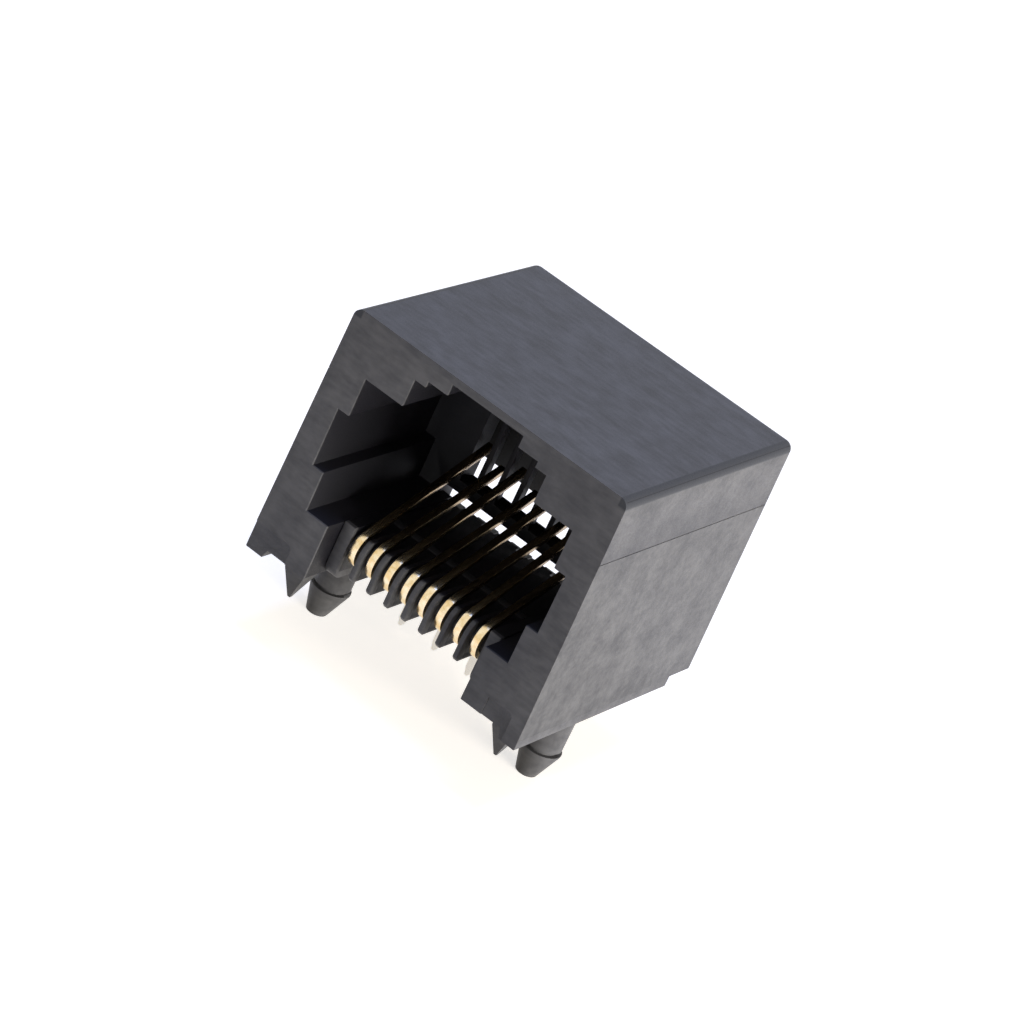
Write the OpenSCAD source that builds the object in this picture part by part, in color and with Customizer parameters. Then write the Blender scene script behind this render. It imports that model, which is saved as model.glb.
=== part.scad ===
// Eight-way modular jack for a circuit board, side entry, latch side up.
// x runs across the jack, y runs from the plug side to the back, z is up off the board.
// The origin lies on the board, midway between the two pegs.

/* [Housing] */
// Width of the housing at the board
body_w = 15.78; // [15.5:0.02:17]
// Depth of the housing at the board, front face to back face
body_d = 14.8; // [13.8:0.1:18]
// Height of the housing above the board
body_h = 12.81; // [12.8:0.01:15]
// How far each side wall leans in at the top, so that it leaves the mould
side_draft = 0.25; // [0:0.01:0.4]
// How far the back wall leans in at the top
back_draft = 0.3; // [0:0.01:0.4]
// Rounding of the top and back edges
edge_r = 0.45; // [0.1:0.05:0.6]
// Height of the mould parting line on the side walls
parting_z = 9.6; // [4:0.1:11]

/* [Plug opening] */
// Width of the plug opening
plug_w = 11.74; // [11.7:0.02:12]
// Height of the floor that the plug slides on
plug_floor = 3.24; // [3.2:0.02:3.6]
// Height of the top of the plug opening
plug_top = 10.18; // [9.8:0.02:10.6]
// Width across the two side recesses
recess_w = 13; // [12.4:0.1:13.6]
// Lower edge of the side recesses
recess_low = 5.25; // [4.5:0.05:6]
// Upper edge of the side recesses
recess_high = 8.25; // [7:0.05:9]
// Width of the wide step over the latch
step_w = 7.44; // [7:0.02:8]
// Height of the wide step
step_top = 11.55; // [11:0.05:11.7]
// Width of the narrow step over the latch
narrow_step_w = 6.2; // [5:0.1:6.8]
// Height of the narrow step
narrow_step_top = 11.85; // [11.75:0.05:12]
// Width of the latch slot
latch_w = 4; // [3.4:0.05:4.6]
// Height of the latch slot
latch_top = 12.42; // [12.1:0.02:12.5]
// Depth of the plug opening
plug_depth = 8.9; // [8.6:0.1:9.4]

/* [Comb wall] */
// Thickness of the slotted wall behind the plug opening
comb_wall_t = 1.2; // [0.8:0.1:1.5]
// Thickness of the teeth between the slots
comb_tooth_t = 0.5; // [0.4:0.05:0.8]
// Width of each slot in the comb wall
slot_w = 0.76; // [0.6:0.01:0.8]
// Lower end of the slots
slot_low = 4.27; // [4.1:0.01:4.6]
// Upper end of the slots
slot_high = 8; // [7:0.1:9]
// Lower edge of the comb wall
comb_low = 3.7; // [3.6:0.01:3.8]

/* [Back] */
// Thickness of the back wall at the board
back_wall_t = 1; // [0.8:0.1:1.4]
// Lower edge of the back wall
back_wall_low = 3.45; // [3:0.05:5]
// Thickness of the side walls beside the rear chamber, at the board
thin_wall_t = 0.84; // [0.7:0.02:1.2]
// Top of the rear chamber
chamber_top = 11.6; // [9:0.1:11.9]
// Length of the raised heel at the back of each side wall
heel_len = 2.1; // [0.5:0.1:3]
// Height of the heel above the board
heel_h = 0.55; // [0.2:0.05:0.8]

/* [Pillars] */
// Gap between the two pillars, which the contact insert fills
gap_w = 9.2; // [9:0.05:9.6]
// Height of the pillar undersides above the board
pillar_low = 0.45; // [0.2:0.05:0.7]
// Width of the foot strip that stands on the board
foot_w = 0.94; // [0.5:0.02:1.1]
// Depth of the moulding mark on the front of each pillar
mark_t = 0.05; // [0.02:0.01:0.1]
// Height of the moulding mark
mark_top = 1.38; // [1:0.02:2]
// Distance from the middle to the inner end of the marks
mark_in = 5.75; // [5.2:0.05:6.2]
// Distance from the middle to the outer end of the right mark
mark_out = 7.15; // [6.8:0.05:7.4]

/* [Pegs] */
// Distance between the two pegs
peg_pitch = 12.7; // [12.4:0.05:13]
// Distance of the pegs behind the front face
peg_setback = 6.4; // [5.5:0.1:6.8]
// Diameter of the peg shaft
peg_d = 1.85; // [1.7:0.05:1.9]
// Diameter of the peg's root, where it meets the pillar
peg_root_d = 2.3; // [2.2:0.05:2.5]
// Reach of the pegs below the board plane
peg_len = 3.98; // [3.8:0.02:4.4]
// Diameter at the top of the peg head
peg_head_d = 1.98; // [1.92:0.02:2.1]
// Diameter of the flat peg tip
peg_tip_d = 1.04; // [0.8:0.02:1.2]
// Height of the peg head
peg_head_h = 1.32; // [1:0.02:1.5]
// How far the flat tip sits in front of the peg's middle
peg_lean = 0.34; // [0.1:0.02:0.4]
// Depth of the groove over the peg head
peg_groove_t = 0.15; // [0.05:0.01:0.25]

/* [Teeth] */
// Distance between the two teeth
tooth_pitch = 12.3; // [12:0.1:12.6]
// Width and depth of a tooth
tooth_w = 1.1; // [0.7:0.05:1.3]
// Distance of the teeth behind the front face
tooth_setback = 2.55; // [1.5:0.05:3.5]
// Reach of the teeth below the board plane
tooth_len = 2.2; // [1.5:0.05:2.8]
// Height of the tapered end of a tooth
tooth_taper = 1.45; // [0.8:0.05:1.6]
// Width of the blunt tooth tip
tooth_tip_w = 0.14; // [0.08:0.02:0.4]

/* [Contacts] */
// Distance between neighbouring contacts
contact_pitch = 1.016; // [0.98:0.002:1.05]
// Width of the contact strip
strip_w = 0.36; // [0.3:0.01:0.42]
// Thickness of the contact strip
strip_t = 0.3; // [0.2:0.01:0.32]
// Distance of the loops behind the front face
loop_setback = 1.23; // [1.15:0.01:1.5]
// Radius of the loop, measured to the middle of the strip
loop_r = 0.8; // [0.76:0.01:0.82]
// Height of the run under the insert
run_z = 1.54; // [1.5:0.02:1.6]
// Slope of the arms on the front row of contacts
steep_slope = 22.3; // [20:0.1:24]
// Slope of the arms on the back row of contacts
flat_slope = 18.5; // [17:0.1:20]
// Distance of the arm tips behind the front face
arm_reach = 9.6; // [9:0.05:9.8]
// Radius of the bend into the tail, measured to the middle of the strip
tail_bend_r = 0.4; // [0.25:0.01:0.5]
// Distance from the pegs back to the front row of tails
row_offset = 2.55; // [2.4:0.01:2.8]
// Distance between the two rows of tails
row_pitch = 2.54; // [2.3:0.01:2.8]
// Reach of the tails below the board plane
tail_len = 3.58; // [3:0.02:3.7]

/* [Contact insert] */
// Side play between the insert and the pillars
insert_play = 0.04; // [0.02:0.01:0.08]
// Thickness of the ribs between the contacts
rib_t = 0.24; // [0.2:0.01:0.3]
// Distance of the rib fronts behind the front face
rib_setback = 1.05; // [0.9:0.01:1.1]
// Height of the rib undersides
rib_low = 1.08; // [0.8:0.02:1.3]
// Height of the rib tops behind the loops
rib_top = 3.15; // [3.05:0.01:3.2]
// Play between a loop and the nose inside it
nose_play = 0.02; // [0.01:0.01:0.05]
// Width of the side rails
rail_w = 0.61; // [0.45:0.01:0.65]
// Distance of the rail fronts behind the front face
rail_setback = 1.3; // [1.2:0.05:1.5]
// Height of the rail undersides
rail_low = 0.5; // [0.2:0.05:0.8]
// Rounding of the lower rail fronts
rail_r = 0.6; // [0.2:0.05:0.8]
// Height of the rail tops over the plug floor
rail_rise = 0.06; // [0.02:0.01:0.1]
// Distance of the insert floor end behind the front face
floor_end = 9; // [8.6:0.05:9.2]
// Distance of the insert's back end behind the front face
insert_end = 10.8; // [10.4:0.05:10.9]
// Thickness of the roof behind the insert floor
roof_t = 0.65; // [0.5:0.01:0.75]
// Reach of the tongues into the pillars
tongue_w = 0.55; // [0.3:0.01:0.7]
// Height of the tongues
tongue_h = 0.75; // [0.5:0.01:0.9]
// Height of the groove floor that the tongues rest on
tongue_z = 1.45; // [1.4:0.01:1.6]
// Distance of the groove ends behind the front face
tongue_setback = 1.8; // [1.6:0.05:2.5]

/* [Hidden] */
$fn = 48;
contact_count = 8;

cut = 1;                                  // reach of a cut past the face that it opens
top_w = body_w - 2 * side_draft;
top_d = body_d - back_draft;
wall_top = body_h - edge_r;               // the walls lean in from the feet to this height
comb_back = plug_depth + comb_wall_t;
slots_w = (contact_count - 1) * contact_pitch + slot_w;
chamber_back = body_d - back_wall_t;
chamber_w = body_w - 2 * thin_wall_t;
mark_r = 0.25;
foot_slope = 0.15;
parting_t = 0.04;
rib_chamfer = 0.2;
peg_groove_h = 0.18;
peg_rim_t = 0.08;
loop_outer_r = loop_r + strip_t / 2;
loop_y = loop_setback + loop_outer_r;
loop_z = run_z + loop_r;
seat_z = run_z + strip_t / 2;             // the insert rests on the strips at this height
nose_r = loop_r - strip_t / 2 - nose_play;
insert_w = gap_w - 2 * insert_play;
channel_w = insert_w - 2 * rail_w;
rail_top = plug_floor + rail_rise;
roof_top = seat_z + roof_t;
tail_taper = 0.4;
tail_tip = 0.45;                          // width of a tail's end, as a share of the strip
bend_step = 7.5;                          // angle between the points of a bend

function contact_x(i) = (i - (contact_count + 1) / 2) * contact_pitch;
function is_front_row(i) = i % 2 == 1;
function row_y(i) = peg_setback + row_offset + (is_front_row(i) ? 0 : row_pitch);
function arm_slope(i) = is_front_row(i) ? steep_slope : flat_slope;

// Moves what is drawn from the front face into the frame of the jack
module in_frame() {
    translate([0, -peg_setback, 0]) children();
}

// Draws an outline in x and z along y, from y_from over a length
module along_y(y_from, length) {
    translate([0, y_from + length, 0])
        rotate([90, 0, 0])
            linear_extrude(length) children();
}

// Draws an outline in y and z across x, centred on x_mid
module across_x(x_mid, width) {
    translate([x_mid - width / 2, 0, 0])
        rotate([90, 0, 90])
            linear_extrude(width) children();
}

module both_sides() {
    children();
    mirror([1, 0, 0]) children();
}

// A centred band of an outline between two heights
module band(width, low, high) {
    translate([-width / 2, low]) square([width, high - low]);
}

// A box from its middle in x, its width and its limits in y and z
module block(x_mid, width, y_limits, z_limits) {
    translate([x_mid - width / 2, y_limits[0], z_limits[0]])
        cube([width, y_limits[1] - y_limits[0], z_limits[1] - z_limits[0]]);
}

// Plan outline at the board: square front corners and rounded back corners
module plan_outline() {
    band(body_w, 0, body_d - edge_r);
    band(body_w - 2 * edge_r, body_d / 2, body_d);
    for (side = [-1, 1])
        translate([side * (body_w / 2 - edge_r), body_d - edge_r]) circle(edge_r);
}

// Outer form of the housing: straight at the feet, then leaning in up to the rounded top
module outer_form() {
    hull() {
        linear_extrude(pillar_low) plan_outline();
        for (side = [-1, 1]) {
            along_y(0, top_d - edge_r)
                translate([side * (top_w / 2 - edge_r), wall_top]) circle(edge_r);
            translate([side * (top_w / 2 - edge_r), top_d - edge_r, wall_top]) sphere(edge_r);
        }
    }
}

// Stepped outline of the plug opening, down through the gap between the pillars
module plug_outline() {
    band(plug_w, plug_floor, plug_top);
    band(recess_w, recess_low, recess_high);
    band(step_w, recess_high, step_top);
    band(narrow_step_w, recess_high, narrow_step_top);
    band(latch_w, recess_high, latch_top);
    band(gap_w, -cut, recess_low);
}

// Space under the pillars, which leaves the foot strips standing
module under_outline() {
    half = body_w / 2 - foot_w;
    polygon([
        [-half, -cut], [-half, 0], [-half + foot_slope, pillar_low],
        [half - foot_slope, pillar_low], [half, 0], [half, -cut]
    ]);
}

// Shallow moulding mark with one round corner, low on a pillar's front
module front_mark(x_from, x_to) {
    along_y(-cut, cut + mark_t) {
        translate([x_from, -cut]) square([x_to - x_from - mark_r, mark_top + cut]);
        translate([x_from, -cut]) square([x_to - x_from, mark_top - mark_r + cut]);
        translate([x_to - mark_r, mark_top - mark_r]) circle(mark_r);
    }
}

// Groove in a pillar, open at the back, for the insert's tongue
module tongue_groove() {
    reach = tongue_w + insert_play;
    block(gap_w / 2, 2 * reach, [tongue_setback, comb_back + cut],
        [tongue_z, tongue_z + tongue_h + insert_play]);
}

// Line left by the mould halves along a side wall
module parting_line() {
    lean = side_draft * (parting_z - pillar_low) / (wall_top - pillar_low);
    block(body_w / 2 - lean, 2 * parting_t, [-cut, body_d + cut],
        [parting_z - parting_t / 2, parting_z + parting_t / 2]);
}

// Snap peg: flared root above the board, shaft, groove, and a head that tapers to a tip set forward
module peg() {
    root_r = peg_root_d / 2;
    shaft_r = peg_d / 2;
    head_top = -peg_len + peg_head_h;
    rotate_extrude()
        polygon([
            [0, pillar_low + cut], [root_r, pillar_low + cut], [root_r, pillar_low], [shaft_r, 0],
            [shaft_r, head_top + peg_groove_h], [shaft_r - peg_groove_t, head_top + peg_groove_h],
            [shaft_r - peg_groove_t, head_top - peg_rim_t], [0, head_top - peg_rim_t]
        ]);
    hull() {
        translate([0, 0, head_top - peg_rim_t]) cylinder(peg_rim_t, d = peg_head_d, $fn = 32);
        translate([0, -peg_lean, -peg_len]) cylinder(peg_rim_t, d = peg_tip_d, $fn = 32);
    }
}

// Outline of a tooth, the same from the front and from the side
module tooth_outline() {
    half = tooth_w / 2;
    tip = tooth_tip_w / 2;
    polygon([
        [-half, pillar_low + cut], [half, pillar_low + cut], [half, -tooth_len + tooth_taper],
        [tip, -tooth_len], [-tip, -tooth_len], [-half, -tooth_len + tooth_taper]
    ]);
}

// Tooth: a square post that tapers on all four sides
module tooth() {
    intersection() {
        along_y(-tooth_w / 2, tooth_w) tooth_outline();
        across_x(0, tooth_w) tooth_outline();
    }
}

module housing() {
    color([0.13, 0.13, 0.15]) in_frame() {
        difference() {
            outer_form();
            along_y(-cut, cut + plug_depth) plug_outline();
            along_y(-cut, 2 * cut + body_d) under_outline();
            block(0, gap_w, [0, comb_back + cut], [-cut, comb_low]);
            block(0, chamber_w, [comb_back, chamber_back], [-cut, chamber_top]);
            block(0, chamber_w, [comb_back, body_d + cut], [-cut, back_wall_low]);
            block(0, body_w + cut, [body_d - heel_len, body_d + cut], [-cut, heel_h]);
            for (i = [1:contact_count])
                block(contact_x(i), slot_w, [plug_depth - cut, comb_back + cut],
                    [slot_low, slot_high]);
            block(0, slots_w, [plug_depth + comb_tooth_t, comb_back + cut], [slot_low, slot_high]);
            both_sides() {
                tongue_groove();
                parting_line();
            }
            front_mark(-body_w / 2 - cut, -mark_in);
            front_mark(mark_in, mark_out);
        }
        both_sides() {
            translate([peg_pitch / 2, peg_setback, 0]) peg();
            translate([tooth_pitch / 2, tooth_setback, 0]) tooth();
        }
    }
}

// Direction of a heading, and the direction to its left
function along(heading) = [cos(heading), sin(heading)];
function left_of(heading) = [-sin(heading), cos(heading)];

// Points and headings down the middle of a strip. Each step is a straight length, then
// a bend by an angle about a radius, where left bends are positive and right ones negative.
function stations(steps, at, heading, i = 0) =
    let (
        turn = steps[i][1],
        reach = sign(turn) * steps[i][2],
        corner = at + steps[i][0] * along(heading),
        centre = corner + reach * left_of(heading),
        count = ceil(abs(turn) / bend_step)
    )
    concat(
        count == 0 ? [[corner, heading]] : [
            for (k = [0:count])
                let (h = heading + turn * k / count)
                [centre - reach * left_of(h), h]
        ],
        i + 1 == len(steps) ? []
            : stations(steps, centre - reach * left_of(heading + turn), heading + turn, i + 1)
    );

// A strip of even thickness drawn on edge, from a point and a heading along the steps
module strip(steps, start, heading) {
    middle = concat([[start, heading]], stations(steps, start, heading));
    polygon(concat(
        [for (s = middle) s[0] + strip_t / 2 * left_of(s[1])],
        [for (k = [len(middle) - 1:-1:0])
            middle[k][0] - strip_t / 2 * left_of(middle[k][1])]
    ));
}

// Side view of a contact: tail, bend, run under the insert, loop and spring arm
module contact_outline(i) {
    slope = arm_slope(i);
    arm_start = loop_y - loop_r * sin(slope);
    strip([
        [tail_len + run_z - tail_bend_r, 90, tail_bend_r],
        [row_y(i) - tail_bend_r - loop_y, slope - 180, loop_r],
        [(arm_reach - arm_start) / cos(slope), 0, 0]
    ], [row_y(i), -tail_len], 90);
}

// Front view of a contact: one strip width, tapered at the tail's end
module contact_front() {
    half = strip_w / 2;
    polygon([
        [-half, body_h], [half, body_h], [half, -tail_len + tail_taper],
        [half * tail_tip, -tail_len], [-half * tail_tip, -tail_len], [-half, -tail_len + tail_taper]
    ]);
}

module contact(i) {
    color([0.85, 0.66, 0.3]) in_frame()
        translate([contact_x(i), 0, 0])
            intersection() {
                across_x(0, strip_w) contact_outline(i);
                along_y(0, body_d) contact_front();
            }
}

// Side view of the insert floor: a round nose inside the loops, the floor that the
// plug slides on, and the thinner roof over the strips behind it
module floor_outline() {
    translate([loop_y, seat_z + nose_r]) circle(nose_r);
    translate([loop_y, seat_z]) square([floor_end - loop_y, 2 * nose_r]);
    translate([2 * loop_y, seat_z]) square([floor_end - 2 * loop_y, plug_floor - seat_z]);
    translate([loop_y, seat_z]) square([insert_end - loop_y, roof_t]);
}

// Side view of a rib: round front, cut off level with rib_top, walls between the runs
module rib_outline() {
    front_r = loop_y - rib_setback;
    slope_run = 2 * (rib_top - seat_z - 2 * nose_r);
    intersection() {
        translate([loop_y, loop_z]) circle(front_r);
        translate([rib_setback, rib_low]) square([front_r, rib_top - rib_low]);
    }
    polygon([
        [rib_setback + rib_chamfer, rib_low], [insert_end, rib_low], [insert_end, seat_z],
        [loop_y + front_r + slope_run, seat_z],
        [loop_y + front_r + slope_run, seat_z + 2 * nose_r], [loop_y + front_r, rib_top],
        [loop_y, rib_top], [loop_y, loop_z], [rib_setback, loop_z], [rib_setback, rib_low + rib_chamfer]
    ]);
}

// Side view of a side rail, rounded at its lower front
module rail_outline() {
    translate([rail_setback + rail_r, rail_low]) square([insert_end - rail_setback - rail_r,
        roof_top - rail_low]);
    translate([rail_setback + rail_r, rail_low]) square([floor_end - rail_setback - rail_r,
        rail_top - rail_low]);
    translate([rail_setback, rail_low + rail_r]) square([2 * rail_r, rail_top - rail_low - rail_r]);
    translate([rail_setback + rail_r, rail_low + rail_r]) circle(rail_r);
}

module contact_insert() {
    color([0.16, 0.16, 0.18]) in_frame()
        difference() {
            union() {
                across_x(0, channel_w) floor_outline();
                for (i = [1:contact_count - 1])
                    across_x(contact_x(i + 0.5), rib_t) rib_outline();
                both_sides() {
                    across_x((insert_w - rail_w) / 2, rail_w) rail_outline();
                    block((insert_w + tongue_w) / 2, tongue_w, [tongue_setback, comb_back],
                        [tongue_z, tongue_z + tongue_h]);
                }
            }
            for (i = [1:contact_count])
                if (is_front_row(i))
                    block(contact_x(i), contact_pitch - rib_t,
                        [row_y(i) - strip_t, insert_end + cut], [rib_low - cut, roof_top + cut]);
        }
}

housing();
contact_insert();
for (i = [1:contact_count])
    contact(i);
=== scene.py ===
import math
import bmesh
import bpy
from mathutils import Matrix, Vector


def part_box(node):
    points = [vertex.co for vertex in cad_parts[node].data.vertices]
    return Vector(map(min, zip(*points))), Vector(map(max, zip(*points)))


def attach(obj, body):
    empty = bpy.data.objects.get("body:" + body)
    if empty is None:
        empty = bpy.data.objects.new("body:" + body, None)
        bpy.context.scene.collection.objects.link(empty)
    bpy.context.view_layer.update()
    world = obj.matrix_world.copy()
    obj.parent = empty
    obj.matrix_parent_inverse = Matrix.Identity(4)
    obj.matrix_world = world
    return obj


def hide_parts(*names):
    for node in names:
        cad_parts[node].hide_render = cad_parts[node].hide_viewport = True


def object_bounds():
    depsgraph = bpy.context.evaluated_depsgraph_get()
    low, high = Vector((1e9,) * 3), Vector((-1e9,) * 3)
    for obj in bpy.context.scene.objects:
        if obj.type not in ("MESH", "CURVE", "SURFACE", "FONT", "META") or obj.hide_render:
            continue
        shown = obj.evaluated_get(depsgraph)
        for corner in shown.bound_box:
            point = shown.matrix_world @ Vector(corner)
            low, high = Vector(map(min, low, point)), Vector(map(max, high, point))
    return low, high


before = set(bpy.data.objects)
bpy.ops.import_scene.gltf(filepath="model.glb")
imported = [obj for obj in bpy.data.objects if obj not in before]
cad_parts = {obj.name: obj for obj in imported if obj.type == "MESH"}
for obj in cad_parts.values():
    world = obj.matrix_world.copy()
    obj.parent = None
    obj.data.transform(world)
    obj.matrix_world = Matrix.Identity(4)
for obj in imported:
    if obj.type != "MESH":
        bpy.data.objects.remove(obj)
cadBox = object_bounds()
print("frame loaded")

mm = 0.001
jackFoot = cadBox[0][2]                # the peg tips stand on the floor
housingLow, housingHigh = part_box("housing")
insertLow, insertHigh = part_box("contact_insert")

# The camera comes first.
cameraSettings = {
    "target": (-0.287, 1.067, 5.291),  # mm, a point on the line of sight inside the jack
    "azimuth": 23.939,                 # degrees round from the plug side
    "elevation": 25.655,
    "roll": 25.483,                    # the jack leans to the right
    "distance": 184.942,               # mm
    "lens": 146.806,                   # mm
    "sensor": 36,                      # mm
    "nearest": 0.005,                  # m, nothing is seen nearer than this
    "farthest": 20,                    # m
}


def awayFrom(azimuth, elevation):
    # unit vector from the jack, azimuth counted from the plug side towards the right wall
    a, e = math.radians(azimuth), math.radians(elevation)
    return Vector((math.sin(a) * math.cos(e), -math.cos(a) * math.cos(e), math.sin(e)))


def makeCamera(s):
    data = bpy.data.cameras.new("camera")
    data.lens = s["lens"]
    data.sensor_width = s["sensor"]
    data.clip_start = s["nearest"]
    data.clip_end = s["farthest"]
    camera = bpy.data.objects.new("camera", data)
    bpy.context.collection.objects.link(camera)
    back = awayFrom(s["azimuth"], s["elevation"])
    roll = Matrix.Rotation(math.radians(s["roll"]), 3, "Z")
    turn = back.to_track_quat("Z", "Y").to_matrix() @ roll
    eye = (Vector(s["target"]) + back * s["distance"]) * mm
    camera.matrix_world = Matrix.Translation(eye) @ turn.to_4x4()
    bpy.context.scene.camera = camera


makeCamera(cameraSettings)
print("camera made")


def addNode(tree, kind, inputs=None, **values):
    # inputs are numbers, colours or the output sockets of other nodes
    node = tree.nodes.new(kind)
    for name, value in values.items():
        setattr(node, name, value)
    for name, value in (inputs or {}).items():
        if isinstance(value, bpy.types.NodeSocket):
            tree.links.new(value, node.inputs[name])
        else:
            node.inputs[name].default_value = value
    return node


def larger(tree, first, second):
    return addNode(tree, "ShaderNodeMath", {0: first, 1: second}, operation="MAXIMUM").outputs[0]


def seenDirectly(tree):
    # 1 where the camera sees a surface, also through glass or in a reflection
    path = addNode(tree, "ShaderNodeLightPath").outputs
    seen = larger(tree, path["Is Camera Ray"], path["Is Glossy Ray"])
    return larger(tree, seen, path["Is Transmission Ray"])


studioSettings = {
    "ambient": (0.34, 0.32, 0.30),       # what the jack gets from all round
    "floorColour": (0.80, 0.73, 0.62),
    "floorGlow": 0.68,                   # keeps the floor near white and the shadow faint
    "floorRadius": 500,                  # mm
    "floorSides": 96,
    "lampAim": (0, 1.5, 5),              # mm, the point that the lamps face
    "lamps": [
        # name, azimuth, elevation, distance mm, width mm, height mm, watts, colour
        ("sideLamp", 84, 5, 300, 200, 40, 2.0, (1.0, 0.985, 0.965)),
        ("overheadLamp", 0, 90, 400, 200, 200, 0.9, (0.16, 0.34, 1.0)),
    ],
}


def makeWorld(s):
    world = bpy.data.worlds.new("studio")
    bpy.context.scene.world = world
    world.use_nodes = True
    tree = world.node_tree
    ambient = tree.nodes["Background"]
    ambient.inputs["Color"].default_value = (*s["ambient"], 1)
    ambient.inputs["Strength"].default_value = 1.0
    white = addNode(tree, "ShaderNodeBackground", {"Color": (1, 1, 1, 1), "Strength": 1.0})
    both = addNode(tree, "ShaderNodeMixShader", {
        0: seenDirectly(tree), 1: ambient.outputs[0], 2: white.outputs[0]})
    tree.links.new(both.outputs[0], tree.nodes["World Output"].inputs["Surface"])


def makeFloor(s):
    mesh = bpy.data.meshes.new("floor")
    shape = bmesh.new()
    bmesh.ops.create_circle(
        shape, cap_ends=True, segments=s["floorSides"], radius=s["floorRadius"] * mm)
    shape.to_mesh(mesh)
    shape.free()
    floor = bpy.data.objects.new("floor", mesh)
    floor.location = (0, 0, jackFoot)
    bpy.context.collection.objects.link(floor)
    material = bpy.data.materials.new("palePaper")
    material.use_nodes = True
    tree = material.node_tree
    tree.nodes.remove(tree.nodes["Principled BSDF"])
    paper = addNode(tree, "ShaderNodeBsdfDiffuse", {"Color": (*s["floorColour"], 1)})
    glow = addNode(tree, "ShaderNodeEmission", {"Color": (1, 1, 1, 1), "Strength": s["floorGlow"]})
    lit = addNode(tree, "ShaderNodeAddShader", {0: paper.outputs[0], 1: glow.outputs[0]})
    both = addNode(tree, "ShaderNodeMixShader", {
        0: seenDirectly(tree), 1: paper.outputs[0], 2: lit.outputs[0]})
    tree.links.new(both.outputs[0], tree.nodes["Material Output"].inputs["Surface"])
    mesh.materials.append(material)


def makeLamp(aim, name, azimuth, elevation, distance, width, height, watts, colour):
    data = bpy.data.lights.new(name, "AREA")
    data.shape = "RECTANGLE"
    data.size, data.size_y = width * mm, height * mm
    data.energy = watts
    data.color = colour
    lamp = bpy.data.objects.new(name, data)
    bpy.context.collection.objects.link(lamp)
    back = awayFrom(azimuth, elevation)
    middle = (Vector(aim) + back * distance) * mm
    turn = back.to_track_quat("Z", "Y").to_matrix().to_4x4()
    lamp.matrix_world = Matrix.Translation(middle) @ turn


bpy.context.scene.view_settings.view_transform = "Standard"
makeWorld(studioSettings)
makeFloor(studioSettings)
for lampSettings in studioSettings["lamps"]:
    makeLamp(studioSettings["lampAim"], *lampSettings)
print("studio made")


# The outer faces are hazy and mottled, and the inside carries painted shade: a near-black colour that
# stands in for the shade in the cavity and the insert's recesses.
blackPlastic = {
    # painted shade: near-black, standing in for the shade inside the cavity and the recesses
    "paintedInsideShade": (0.006, 0.0055, 0.0075),
    "paintedEdgeShade": (0.022, 0.023, 0.026),      # painted shade on the rounded top edges
    "dark": (0.044, 0.043, 0.044),
    "pale": (0.086, 0.084, 0.083),
    "blotchSize": 1.6,                 # mm across a cloudy patch
    "blotchShare": 0.6,                # of the haze, the rest is streaks
    "streakSize": 0.28,                # mm
    "grainSize": 0.07,                 # mm
    "roughness": (0.42, 0.56),
    "grainDepth": 0.004,               # mm
    "specular": 0.32,
    "hazeRange": (0.36, 0.64),         # noise values that give dark and pale
    "skin": 0.12,                      # mm, how far in from the outside the haze reaches before the painted inside shade begins
    "edgeShadeBlend": 0.08,                  # mm over which the painted shade on a rounded edge fades in
}


def noiseAt(tree, place, size, detail=2.0, roughness=0.5, stretch=(1, 1, 1)):
    # even noise with features about size millimetres across
    mapped = addNode(tree, "ShaderNodeMapping", {"Vector": place, "Scale": stretch})
    return addNode(tree, "ShaderNodeTexNoise", {
        "Vector": mapped.outputs[0], "Scale": 1 / (size * mm), "Detail": detail, "Roughness": roughness,
    }).outputs["Fac"]


def spread(tree, value, low, high, toLow=0.0, toHigh=1.0):
    return addNode(tree, "ShaderNodeMapRange", {
        "Value": value, "From Min": low, "From Max": high, "To Min": toLow, "To Max": toHigh,
    }).outputs["Result"]


def mixed(tree, factor, first, second):
    # first and second are colours or colour sockets
    node = addNode(tree, "ShaderNodeMix", data_type="RGBA")
    tree.links.new(factor, node.inputs[0])
    for socket, colour in ((node.inputs[6], first), (node.inputs[7], second)):
        if isinstance(colour, bpy.types.NodeSocket):
            tree.links.new(colour, socket)
        else:
            socket.default_value = (*colour, 1)
    return node.outputs[2]


def insideBox(tree, place, low, high):
    # 1 inside a box given in metres, 0 outside it
    middle = [(a + b) / 2 for a, b in zip(low, high)]
    half = [(b - a) / 2 for a, b in zip(low, high)]
    share = place
    for operation, amount in (("SUBTRACT", middle), ("DIVIDE", half), ("ABSOLUTE", None)):
        amounts = {0: share} if amount is None else {0: share, 1: amount}
        share = addNode(tree, "ShaderNodeVectorMath", amounts, operation=operation).outputs[0]
    parts = addNode(tree, "ShaderNodeSeparateXYZ", {0: share})
    most = larger(tree, larger(tree, parts.outputs[0], parts.outputs[1]), parts.outputs[2])
    return addNode(tree, "ShaderNodeMath", {0: most, 1: 1.0}, operation="LESS_THAN").outputs[0]


def beyondEdge(tree, place, sideX, topZ, blend):
    # 1 on the rounding between a side wall and the top, where the painted edge shade goes
    parts = addNode(tree, "ShaderNodeSeparateXYZ", {0: place})
    out = addNode(tree, "ShaderNodeMath", {0: parts.outputs[0]}, operation="ABSOLUTE").outputs[0]
    out = spread(tree, out, sideX, sideX + blend)
    up = spread(tree, parts.outputs[2], topZ, topZ + blend)
    return addNode(tree, "ShaderNodeMath", {0: out, 1: up}, operation="MULTIPLY").outputs[0]


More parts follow.
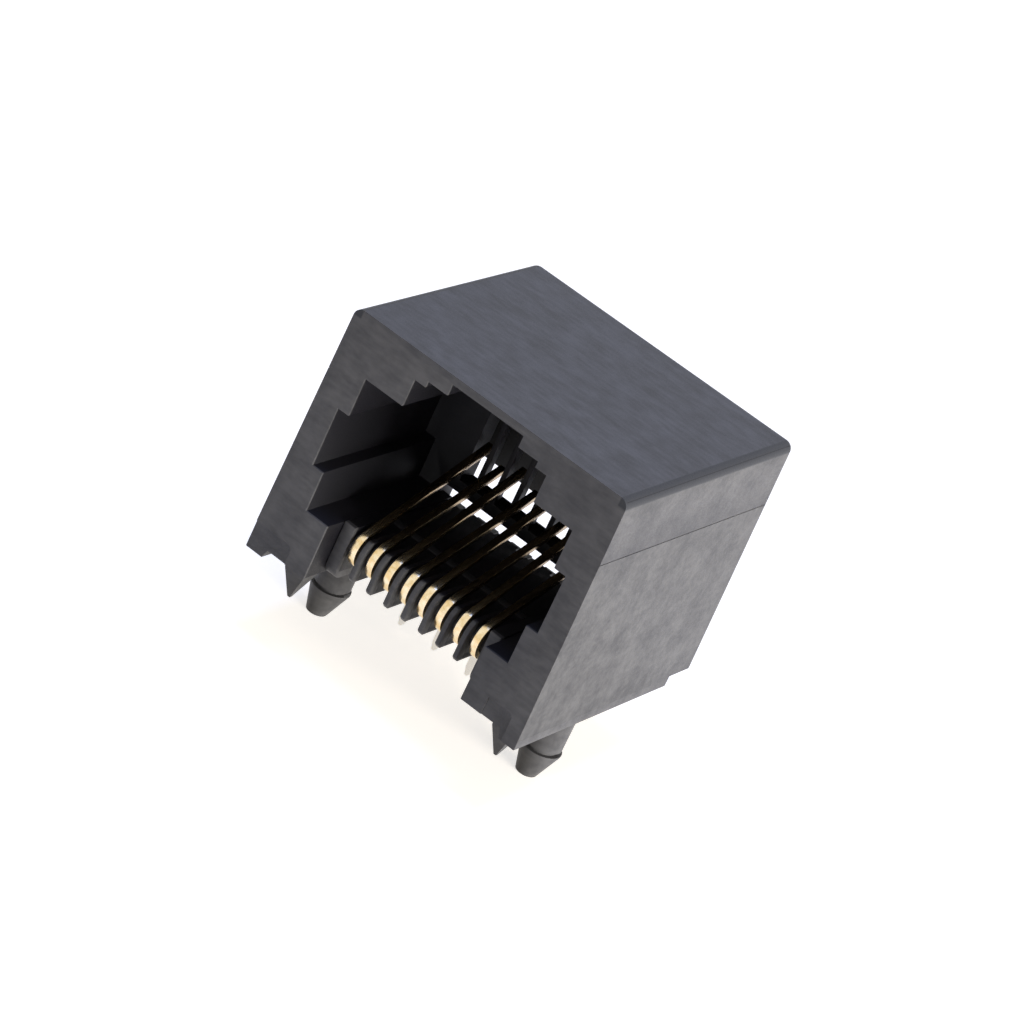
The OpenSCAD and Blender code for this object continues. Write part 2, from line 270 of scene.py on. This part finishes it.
def mouldedPlastic(name, s, low, high, edges=None):
    # low and high are the corners of the space where the plastic gets the painted inside shade,
    # edges says how far out and how high the painted shade on the rounded edges begins
    material = bpy.data.materials.new(name)
    material.use_nodes = True
    tree = material.node_tree
    shader = tree.nodes["Principled BSDF"]
    place = addNode(tree, "ShaderNodeTexCoord").outputs["Object"]
    blotch = noiseAt(tree, place, s["blotchSize"], 3, 0.6)
    streak = noiseAt(tree, place, s["streakSize"], 2, 0.5, (0.3, 1, 1))
    grain = noiseAt(tree, place, s["grainSize"], 2, 0.6)
    cloud = addNode(tree, "ShaderNodeMath", {0: blotch, 1: s["blotchShare"]}, operation="MULTIPLY")
    fine = addNode(tree, "ShaderNodeMath", {
        0: streak, 1: 1 - s["blotchShare"], 2: cloud.outputs[0]}, operation="MULTIPLY_ADD")
    hazeAndEdgeShade = mixed(tree, spread(tree, fine.outputs[0], *s["hazeRange"]), s["dark"], s["pale"])
    # painted shade: the rounding between the side walls and the top is darkened
    if edges:
        hazeAndEdgeShade = mixed(tree, beyondEdge(tree, place, *edges, s["edgeShadeBlend"] * mm), hazeAndEdgeShade, s["paintedEdgeShade"])
    # painted shade: inside the box the plastic turns near-black for the shade of the hollows
    colour = mixed(tree, insideBox(tree, place, low, high), hazeAndEdgeShade, s["paintedInsideShade"])
    tree.links.new(colour, shader.inputs["Base Color"])
    tree.links.new(spread(tree, grain, 0.3, 0.7, *s["roughness"]), shader.inputs["Roughness"])
    bump = addNode(tree, "ShaderNodeBump", {
        "Height": grain, "Strength": 1.0, "Distance": s["grainDepth"] * mm})
    tree.links.new(bump.outputs[0], shader.inputs["Normal"])
    shader.inputs["Specular IOR Level"].default_value = s["specular"]
    return material


goldPlate = {
    "gold": (0.93, 0.78, 0.52),
    "deepGold": (0.80, 0.58, 0.28),
    "armShadeGold": (0.50, 0.36, 0.19),     # painted shade: a darker, browner gold on the arms deep in the housing
    "tin": (0.72, 0.70, 0.66),
    "goldAbove": 1.2,                  # mm above the board where the gold begins
    "goldBlend": 0.15,                 # mm to either side of that
    "armFrom": 2.1,                    # mm behind the front face
    "armBlend": 0.3,                   # mm
    "cloudSize": 0.35,                 # mm
    "brushSize": 0.05,                 # mm
    "roughness": (0.20, 0.27),
}


def platedStrip(name, s):
    material = bpy.data.materials.new(name)
    material.use_nodes = True
    tree = material.node_tree
    shader = tree.nodes["Principled BSDF"]
    place = addNode(tree, "ShaderNodeTexCoord").outputs["Object"]
    cloud = noiseAt(tree, place, s["cloudSize"], 2, 0.5)
    brush = noiseAt(tree, place, s["brushSize"], 2, 0.6, (1, 0.06, 0.06))
    gold = mixed(tree, spread(tree, cloud, 0.35, 0.65), s["deepGold"], s["gold"])
    parts = addNode(tree, "ShaderNodeSeparateXYZ", {0: place})
    # painted shade: behind armFrom the gold darkens to the arm shade colour
    back, fade = housingLow.y + s["armFrom"] * mm, s["armBlend"] * mm
    armShade = spread(tree, parts.outputs["Y"], back - fade, back + fade)
    gold = mixed(tree, armShade, gold, s["armShadeGold"])
    up, fade = s["goldAbove"] * mm, s["goldBlend"] * mm
    plated = spread(tree, parts.outputs["Z"], up - fade, up + fade)
    tree.links.new(mixed(tree, plated, s["tin"], gold), shader.inputs["Base Color"])
    tree.links.new(spread(tree, brush, 0.3, 0.7, *s["roughness"]), shader.inputs["Roughness"])
    shader.inputs["Metallic"].default_value = 1.0
    return material


skin = blackPlastic["skin"] * mm
lean = 0.25 * mm                       # the walls lean in by this much at the top
rounding = 0.45 * mm                   # of the top edges
pillarHaze = 0.3 * mm                  # the haze reaches this far up from the board
ribHaze = Vector((0, 0.5, 0.4)) * mm   # and this far in from the insert's front and floor
# inside these boxes the plastic gets the painted inside shade, outside them the haze
housingPlastic = mouldedPlastic(
    "blackPlastic", blackPlastic,
    housingLow + Vector((lean + skin, skin, pillarHaze - jackFoot)),
    housingHigh - Vector((lean + skin, lean + skin, skin)),
    (housingHigh.x - lean - rounding, housingHigh.z - rounding))
insertPlastic = mouldedPlastic(
    "insertPlastic", blackPlastic,
    insertLow + ribHaze - Vector((skin, 0, 0)),
    insertHigh + Vector((skin, skin, skin)))
contactPlating = platedStrip("contactPlating", goldPlate)
print("materials made")


# Edges that get no rounding are shorter than "shortest", or lie beside a face that is narrower.
edgeSettings = {
    "weld": 0.002,                     # mm, corners nearer than this are joined
    "flatWithin": 0.8,                 # degrees, faces that are one flat face
    "sharpFrom": 28,                   # degrees, edges that get a rounding
    "smoothUpTo": 32,                  # degrees, edges that are shaded smooth
    "housing": {"radius": 0.06, "shortest": 0.14},
    "insert": {"radius": 0.035, "shortest": 0.08},
    "contact": {"radius": 0.03, "shortest": 0.06},
}


def softEdged(node, name, s, material):
    # a copy of the CAD piece with its flat faces joined up and its edges broken
    shape = bmesh.new()
    shape.from_mesh(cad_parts[node].data)
    bmesh.ops.remove_doubles(shape, verts=shape.verts, dist=edgeSettings["weld"] * mm)
    bmesh.ops.dissolve_limit(
        shape, angle_limit=math.radians(edgeSettings["flatWithin"]),
        verts=shape.verts, edges=shape.edges)
    shape.normal_update()
    lengths = {edge: edge.calc_length() for edge in shape.edges}
    sharpFrom = math.radians(edgeSettings["sharpFrom"])
    sharp = []
    for edge in shape.edges:
        if len(edge.link_faces) != 2 or edge.calc_face_angle() < sharpFrom:
            continue
        beside = [e for v in edge.verts for e in v.link_edges if e is not edge]
        if min(lengths[e] for e in [edge, *beside]) >= s["shortest"] * mm:
            sharp.append(edge)
    bmesh.ops.bevel(
        shape, geom=sharp, offset=s["radius"] * mm, offset_type="OFFSET",
        segments=2, profile=0.5, affect="EDGES", clamp_overlap=True)
    mesh = bpy.data.meshes.new(name)
    shape.to_mesh(mesh)
    shape.free()
    mesh.shade_smooth()
    mesh.set_sharp_from_angle(angle=math.radians(edgeSettings["smoothUpTo"]))
    mesh.materials.append(material)
    piece = bpy.data.objects.new(name, mesh)
    bpy.context.collection.objects.link(piece)
    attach(piece, "root")
    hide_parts(node)


softEdged("housing", "housingShell", edgeSettings["housing"], housingPlastic)
softEdged("contact_insert", "insertBlock", edgeSettings["insert"], insertPlastic)
for i in range(1, 9):
    softEdged("contact_%d" % i, "springContact%d" % i, edgeSettings["contact"], contactPlating)
print("pieces dressed")
